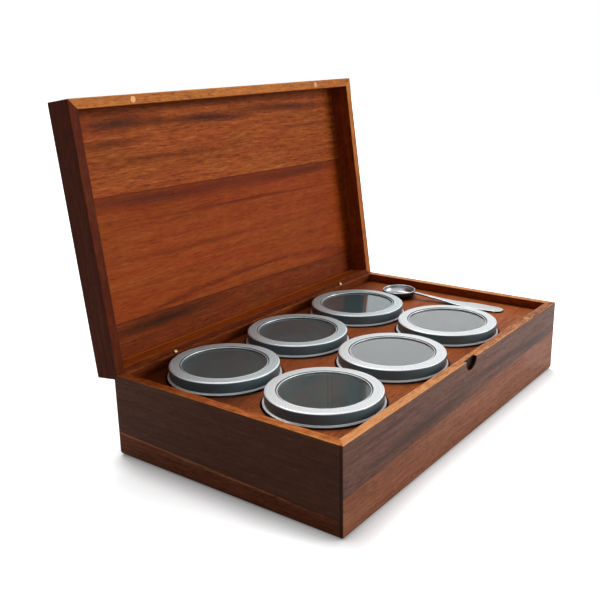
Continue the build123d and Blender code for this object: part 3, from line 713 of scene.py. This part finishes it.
scoopLook = {
    "axis": (132.7 * mm, 39.5 * mm, 0),
    "turn": 5.3,
    # painted shade and dark reflection
    "paintedDark": "#3C4446",
    "scratch": (1500, 40, 1500),
    "stops": [(0.3, "#A9ACAE"), (0.7, "#C6C8C9")],
    "roughness": (0.3, 0.42),
    "outwardShare": 0,
    "paintedDarkFrom": 0.7,
    "paintedDarkTo": 0.4,
}
handleSteel = stainless("stainless steel, brushed lengthways", scoopLook)
bowlLook = {
    "scratch": (200, 200, 60),
    "stops": [(0.3, "#9DA1A3"), (0.7, "#AEB2B4")],
    "roughness": (0.3, 0.34),
    "outwardShare": 1,
    "paintedDarkFrom": -0.5,
    "paintedDarkTo": -0.8,
}
bowlSteel = stainless("stainless steel, pressed and satin polished", {**scoopLook, **bowlLook})


# Small turned parts: brass hinge barrels, and magnets plated pale gold.
def turnedMetal(name, look):
    material, add, at = newMaterial(name)
    turned = add("TexNoise", {"Vector": at["Object"], "Scale": 1800.0, "Detail": 2.0})
    color = add("ValToRGB", {"Fac": turned})
    setRamp(color, look["stops"])
    rough = add("MapRange", {"Value": turned, **toRange(0.35, 0.55)})
    surface = add("BsdfPrincipled", {"Base Color": color, "Metallic": look["metallic"], "Roughness": rough})
    add("OutputMaterial", {"Surface": surface})
    return material


brassLook = {"stops": [(0.3, "#A88252"), (0.7, "#DCBB86")], "metallic": 0.6}
goldLook = {"stops": [(0.3, "#A06A34"), (0.7, "#BC8848")], "metallic": 0.25}
brass = turnedMetal("brass, turned", brassLook)
paleGold = turnedMetal("magnet, plated pale gold", goldLook)
for name in ("box_barrels", "lid_barrels", "hinge_pins"):
    dress(name, brass)
for name in ("box_magnets", "lid_magnets"):
    dress(name, paleGold)
print("metals and windows ready")


# ---- shapes that are turned about an axis
# Corners of a section as (radius, height, round), in millimetres. A rounded corner becomes an arc with
# one more point close to each of its ends, which keeps the flats next to it flat when shaded smooth.
def roundedSection(corners, closed=True, steps=5):
    points = []
    count = len(corners)
    for i, (x, z, curve) in enumerate(corners):
        here = Vector((x, z))
        if curve <= 0 or (not closed and i in (0, count - 1)):
            points.append(here)
            continue
        before = (Vector(corners[i - 1][:2]) - here).normalized()
        after = (Vector(corners[(i + 1) % count][:2]) - here).normalized()
        half = acos(max(-1, min(1, before.dot(after)))) / 2
        reach = curve / tan(half)
        start, end = here + before * reach, here + after * reach
        centre = here + (before + after).normalized() * (curve / sin(half))
        points.append(start + before * min(0.08, reach * 0.4))
        for step in range(steps + 1):
            share = step / steps
            sweep = pi - 2 * half
            weightA = sin((1 - share) * sweep) / sin(sweep)
            weightB = sin(share * sweep) / sin(sweep)
            between = (start - centre) * weightA + (end - centre) * weightB
            points.append(centre + between)
        points.append(end + after * min(0.08, reach * 0.4))
    if closed:
        points.append(points[0].copy())
    return points


def arcPoints(centreX, centreZ, curve, fromAngle, toAngle, steps):
    turns = [radians(fromAngle + (toAngle - fromAngle) * i / steps) for i in range(steps + 1)]
    return [(centreX + curve * cos(t), centreZ + curve * sin(t), 0) for t in turns]


def sectionCurve(name, points):
    curve = bpy.data.curves.new(name, "CURVE")
    curve.dimensions = "3D"
    spline = curve.splines.new("POLY")
    spline.points.add(len(points) - 1)
    for spot, point in zip(spline.points, points):
        spot.co = (point[0] * mm, 0, point[1] * mm, 1)
    return bpy.data.objects.new(name, curve)


# The tree takes a section and turns it about an upright axis: one row of the grid for each of its points.
def latheTree():
    tree = bpy.data.node_groups.new("lathe", "GeometryNodeTree")
    add = partial(addNode, tree)
    kinds = {"Section": "Object", "Axis foot": "Vector", "Facets": "Int", "Finish": "Material"}
    for name, kind in {"Geometry": "Geometry", **kinds}.items():
        tree.interface.new_socket(name, in_out="INPUT", socket_type="NodeSocket" + kind)
    tree.interface.new_socket("Geometry", in_out="OUTPUT", socket_type="NodeSocketGeometry")
    given = add("NodeGroupInput").outputs
    section = add("GeometryNodeObjectInfo", {"Object": given["Section"]}, transform_space="ORIGINAL")
    sectionLine = section.outputs["Geometry"]
    size = add("GeometryNodeAttributeDomainSize", {"Geometry": sectionLine}, component="CURVE")
    turns = add("FunctionNodeIntegerMath", {0: given["Facets"], 1: 1}, operation="ADD")
    grid = add(
        "GeometryNodeMeshGrid",
        {"Size X": 1.0, "Size Y": 1.0, "Vertices X": size.outputs["Point Count"], "Vertices Y": turns},
    )
    index = add("GeometryNodeInputIndex")
    row = add("FunctionNodeIntegerMath", {0: index, 1: turns}, operation="DIVIDE_FLOOR")
    turn = add("FunctionNodeIntegerMath", {0: index, 1: turns}, operation="MODULO")
    place = add("GeometryNodeInputPosition")
    sampled = add(
        "GeometryNodeSampleIndex",
        {"Geometry": sectionLine, "Value": place, "Index": row},
        data_type="FLOAT_VECTOR",
        domain="POINT",
    )
    parts = add("SeparateXYZ", {"Vector": sampled}).outputs
    share = add("Math", {0: turn, 1: given["Facets"]}, operation="DIVIDE")
    # turned clockwise seen from above, so that the faces of these sections look outwards
    angle = add("Math", {0: share, 1: -2 * pi}, operation="MULTIPLY")
    cosine = add("Math", {0: angle}, operation="COSINE")
    sine = add("Math", {0: angle}, operation="SINE")
    x = add("Math", {0: parts["X"], 1: cosine}, operation="MULTIPLY")
    y = add("Math", {0: parts["X"], 1: sine}, operation="MULTIPLY")
    turned = add("CombineXYZ", {"X": x, "Y": y, "Z": parts["Z"]})
    placed = add("VectorMath", {0: turned, 1: given["Axis foot"]}, operation="ADD")
    spinParts = add("VectorMath", {0: sampled, "Scale": 1 / mm}, operation="SCALE")
    stored = add(
        "GeometryNodeStoreNamedAttribute",
        {"Geometry": grid, "Name": "spin", "Value": spinParts},
        data_type="FLOAT_VECTOR",
        domain="POINT",
    )
    moved = add("GeometryNodeSetPosition", {"Geometry": stored, "Position": placed})
    merged = add("GeometryNodeMergeByDistance", {"Geometry": moved, "Distance": 1e-6})
    smooth = add("GeometryNodeSetShadeSmooth", {"Geometry": merged})
    real = add("GeometryNodeRealizeInstances", {"Geometry": smooth})
    finished = add("GeometryNodeSetMaterial", {"Geometry": real, "Material": given["Finish"]})
    add("NodeGroupOutput", {"Geometry": finished})
    return tree


lathe = latheTree()


def turnedPiece(name, section, foot, facets, finish, body, node):
    mesh = bpy.data.meshes.new(name + "_start")
    maker = bpy.data.objects.new(name + "_maker", mesh)
    bpy.context.scene.collection.objects.link(maker)
    modifier = maker.modifiers.new("lathe", "NODES")
    modifier.node_group = lathe
    values = {"Section": section, "Axis foot": [v * mm for v in foot], "Facets": facets, "Finish": finish}
    for item in lathe.interface.items_tree:
        if item.in_out == "INPUT" and item.name in values:
            modifier[item.identifier] = values[item.name]
    depsgraph = bpy.context.evaluated_depsgraph_get()
    made = bpy.data.meshes.new_from_object(maker.evaluated_get(depsgraph))
    made.name = name
    bpy.data.objects.remove(maker)
    piece = bpy.data.objects.new(name, made)
    bpy.context.scene.collection.objects.link(piece)
    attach(piece, body)
    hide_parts(node)
    return piece


def signedVolume(mesh):
    work = bmesh.new()
    work.from_mesh(mesh)
    volume = work.calc_volume(signed=True)
    openEdges = sum(1 for edge in work.edges if not edge.is_manifold)
    work.free()
    return volume, openEdges


# ---- covers of the tins
cover = {
    "foot": 5.2,
    "height": 61.2,
    "hemRadius": 42.6,
    "hemRoll": 0.45,
    "hemCentre": 52.25,
    "skirt": 41.2,
    "skirtInside": 40.8,
    "flareFrom": 53.1,
    "flareInside": 53.35,
    "shoulder": 1.3,
    "ringInside": 33.4,
    "ledge": 60.55,
    "sheet": 0.4,
    "window": 31.9,
    "bead": 0.35,
    "facets": 160,
}
hemX = cover["hemRadius"] - cover["hemRoll"]
beadX = cover["window"] + cover["bead"]
coverCorners = (
    [(cover["skirtInside"], cover["flareInside"], 0.4)]
    + arcPoints(hemX, cover["hemCentre"], cover["hemRoll"], 180, 450, 16)
    + [
        (cover["skirt"], cover["flareFrom"], 0.3),
        (cover["skirt"], cover["height"], cover["shoulder"]),
        (cover["ringInside"], cover["height"], 0.25),
        (cover["ringInside"], cover["ledge"], 0.1),
    ]
    + arcPoints(beadX, cover["ledge"], cover["bead"], 0, 270, 14)
    + [
        (beadX + 0.1, cover["ledge"] - cover["sheet"], 0),
        (cover["ringInside"] + cover["sheet"], cover["ledge"] - cover["sheet"], 0.1),
        (cover["ringInside"] + cover["sheet"], cover["height"] - cover["sheet"], 0.1),
        (cover["skirtInside"], cover["height"] - cover["sheet"], cover["shoulder"] - cover["sheet"]),
    ]
)
coverSection = sectionCurve("cover_section", roundedSection(coverCorners))
for number, (x, y) in enumerate(tinPlaces, start=1):
    piece = turnedPiece(
        f"cover_{number}",
        coverSection,
        (x, y, cover["foot"]),
        cover["facets"],
        coverMetal if number <= tinsInRow else shadedRearMetal,
        f"tin_{number}_lid",
        f"tin_{number}_cover",
    )
    if number == 1:
        print("cover volume and open edges:", signedVolume(piece.data))
print("covers made")

# ---- scoop
scoop = {
    "centre": (132.7, 39.5, 56.7),
    "turn": scoopLook["turn"],
    "radius": 15.5,
    "depth": 7.3,
    "wall": 0.8,
    "draft": 0.7,
    "heel": 5.5,
    "rimRoll": 0.5,
    "thick": 1.2,
    "tipFrom": 94,
    "tipLength": 9,
    "tipPower": 2.6,
    "tipSteps": 10,
    "tipLeast": 0.4,
    "outline": [(15.4, 2.0, 0), (42, 2.4, 60), (75, 8.2, 25), (94, 7.4, 12), (103, 3.4, 3.8)],
    "top": [(15.4, 6.5, 0), (58.6, 2.1, 150), (103, 1.2, 0)],
    "edgeRound": 0.35,
}
rimX = scoop["radius"] - scoop["rimRoll"]
rimZ = scoop["depth"] - scoop["rimRoll"]
bowlCorners = (
    [(0, 0, 0), (scoop["radius"] - scoop["draft"], 0, scoop["heel"])]
    + arcPoints(rimX, rimZ, scoop["rimRoll"], -10, 200, 14)
    + [
        (scoop["radius"] - scoop["wall"] - scoop["draft"], scoop["wall"], scoop["heel"] - scoop["wall"]),
        (0, scoop["wall"], 0),
    ]
)
bowlSection = sectionCurve("bowl_section", roundedSection(bowlCorners, closed=False, steps=10))
bowl = turnedPiece(
    "scoop_bowl_turned", bowlSection, scoop["centre"], 96, bowlSteel, "scoop", "scoop_bowl"
)
print("bowl volume and open edges:", signedVolume(bowl.data))


def heightAt(line, reach):
    for (x0, z0), (x1, z1) in zip(line, line[1:]):
        if x0 <= reach <= x1:
            return z0 + (z1 - z0) * (reach - x0) / (x1 - x0)
    return line[-1][1]


# The handle is a strip: a ring of points round its section at each step along it.
def handleMesh(name):
    outline = roundedSection(scoop["outline"], closed=False, steps=8)
    widths = [(p[0], p[1]) for p in outline[:-1]]
    top = [(p[0], p[1]) for p in roundedSection(scoop["top"], closed=False, steps=8)]
    tipFrom, tipLength, tipSteps = scoop["tipFrom"], scoop["tipLength"], scoop["tipSteps"]
    stations = sorted({round(x, 3) for x, _ in widths} | {round(x, 3) for x, _ in top if x < tipFrom - 1})
    stations = [s for s in stations if s <= tipFrom]
    endWidth = heightAt(widths, tipFrom)
    stations += [tipFrom + tipLength * sin(pi / 2 * i / tipSteps) for i in range(1, tipSteps + 1)]
    work = bmesh.new()
    turn = Matrix.Rotation(radians(scoop["turn"] - 90), 3, "Z")
    centre = Vector(scoop["centre"])
    rings = []
    for s in stations:
        if s <= tipFrom:
            half = heightAt(widths, s)
        else:
            inTip = (s - tipFrom) / tipLength
            half = max(endWidth * (1 - inTip ** scoop["tipPower"]) ** 0.5, scoop["tipLeast"])
        high = heightAt(top, s)
        low = high - scoop["thick"]
        edge = min(scoop["edgeRound"], half * 0.5)
        soft = edge * 0.3
        flat = half - edge
        section = [
            (half, low + edge),
            (half, high - edge),
            (half - soft, high - soft),
            (flat, high),
            (flat - 0.15, high),
            (-flat + 0.15, high),
            (-flat, high),
            (-half + soft, high - soft),
            (-half, high - edge),
            (-half, low + edge),
            (-half + soft, low + soft),
            (-flat, low),
            (flat, low),
            (half - soft, low + soft),
        ]
        rings.append([work.verts.new((centre + turn @ Vector((s, y, z))) * mm) for y, z in section])
    for first, second in zip(rings, rings[1:]):
        for i in range(len(first)):
            j = (i + 1) % len(first)
            work.faces.new((first[i], first[j], second[j], second[i]))
    work.faces.new(list(reversed(rings[0])))
    work.faces.new(rings[-1])
    bmesh.ops.recalc_face_normals(work, faces=work.faces)
    for face in work.faces:
        face.smooth = True
    mesh = bpy.data.meshes.new(name)
    work.to_mesh(mesh)
    work.free()
    return mesh


handle = bpy.data.objects.new("scoop_handle_strip", handleMesh("scoop_handle_strip"))
handle.data.materials.append(handleSteel)
bpy.context.scene.collection.objects.link(handle)
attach(handle, "scoop")
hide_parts("scoop_handle")
print("handle volume and open edges:", signedVolume(handle.data))
print("scoop made")


# ---- floor, world and light
# Seamless paper, matt white. To the eye, and in metal and glass, it is as white as the backdrop and keeps
# the box's shadow, with painted contact shade from ambient occlusion deepest where the box stands on it.
def whiteFloor(name, look):
    material, add, at = newMaterial(name)
    rays = add("LightPath").outputs
    seen = add("Math", {0: rays["Is Camera Ray"], 1: rays["Is Glossy Ray"]}, operation="MAXIMUM")
    seen = add("Math", {0: seen, 1: rays["Is Transmission Ray"]}, operation="MAXIMUM")
    # painted contact shade: ambient occlusion darkens the paper near the box
    near = add("AmbientOcclusion", {"Distance": look["contact"]}, samples=8)
    shade = add("MapRange", {"Value": near.outputs["AO"], "From Min": 0.4, "To Min": 0.35})
    color = add("Mix", {0: seen, 6: hexColor(look["bounce"]), 7: hexColor("#FFFFFF")}, data_type="RGBA")
    shaded = add("Mix", {0: 1.0, 6: color, 7: shade}, data_type="RGBA", blend_type="MULTIPLY")
    # the paper glows brighter on the front right lamp's side: painted light
    toLamp = add("VectorMath", {0: at["Object"], 1: (0.7, -0.7, 0)}, operation="DOT_PRODUCT")
    lift = add("MapRange", {"Value": toLamp, "From Min": -0.1, "From Max": 0.02, **toRange(*look["lift"])})
    glow = add("Math", {0: seen, 1: lift}, operation="MULTIPLY")
    surface = add(
        "BsdfPrincipled",
        {
            "Base Color": shaded,
            "Roughness": 0.9,
            "Specular IOR Level": 0.0,
            "Emission Color": shaded,
            "Emission Strength": glow,
        },
    )
    add("OutputMaterial", {"Surface": surface})
    return material


paper = {"bounce": "#949494", "contact": 0.022, "lift": (0.45, 0.92), "half": 4.0, "below": 0.0002}
floorMesh = bpy.data.meshes.new("floor")
floorCorners = [
    (x * paper["half"], y * paper["half"], -paper["below"]) for x, y in ((-1, -1), (1, -1), (1, 1), (-1, 1))
]
floorMesh.from_pydata(floorCorners, [], [(0, 1, 2, 3)])
floorObject = bpy.data.objects.new("floor", floorMesh)
floorMesh.materials.append(whiteFloor("seamless paper, white", paper))
bpy.context.scene.collection.objects.link(floorObject)

studio = {
    "dim": 0.28,
    "behindCameraAndBox": (0.3, 1.25),
    "lamps": {
        "front_right": {"way": (0.45, -0.75, 0.2), "strength": 2.3, "spread": 35},
        "overhead": {"way": (0.28, 0.5, 1.0), "strength": 2.3, "spread": 30},
    },
}
world = bpy.data.worlds.new("studio")
bpy.context.scene.world = world
world.use_nodes = True
world.node_tree.nodes.clear()
add = partial(addNode, world.node_tree)
rays = add("LightPath").outputs
direction = add("TexCoord").outputs
# reflections see the lit white backdrop behind the box, a lit ceiling, and the dim room behind the camera
toBackdrop = add("VectorMath", {0: direction["Generated"], 1: (0.8, 0.6, 0)}, operation="DOT_PRODUCT")
toCeiling = add("SeparateXYZ", {"Vector": direction["Generated"]}).outputs
toLit = add("Math", {0: toBackdrop, 1: toCeiling["Z"]}, operation="MAXIMUM")
reflected = add("MapRange", {"Value": toLit, "From Max": 0.7, **toRange(*studio["behindCameraAndBox"])})
lit = add("Mix", {0: rays["Is Glossy Ray"], 2: studio["dim"], 3: reflected})
seen = add("Math", {0: rays["Is Camera Ray"], 1: rays["Is Transmission Ray"]}, operation="MAXIMUM")
strength = add("Mix", {0: seen, 2: lit, 3: 1.0})
back = add("Background", {"Color": hexColor("#FFFFFF"), "Strength": strength})
add("OutputWorld", {"Surface": back})

for name, lamp in studio["lamps"].items():
    lampData = bpy.data.lights.new(name, "SUN")
    lampData.energy = lamp["strength"]
    lampData.angle = radians(lamp["spread"])
    lampObject = bpy.data.objects.new(name, lampData)
    lampWay = Vector(lamp["way"]).normalized()
    lampTurn = lampWay.to_track_quat("Z", "Y").to_matrix().to_4x4()
    lampObject.matrix_world = Matrix.Translation(lampWay) @ lampTurn
    bpy.context.scene.collection.objects.link(lampObject)
print("floor, world and light ready")

bpy.context.scene.view_settings.view_transform = "Standard"
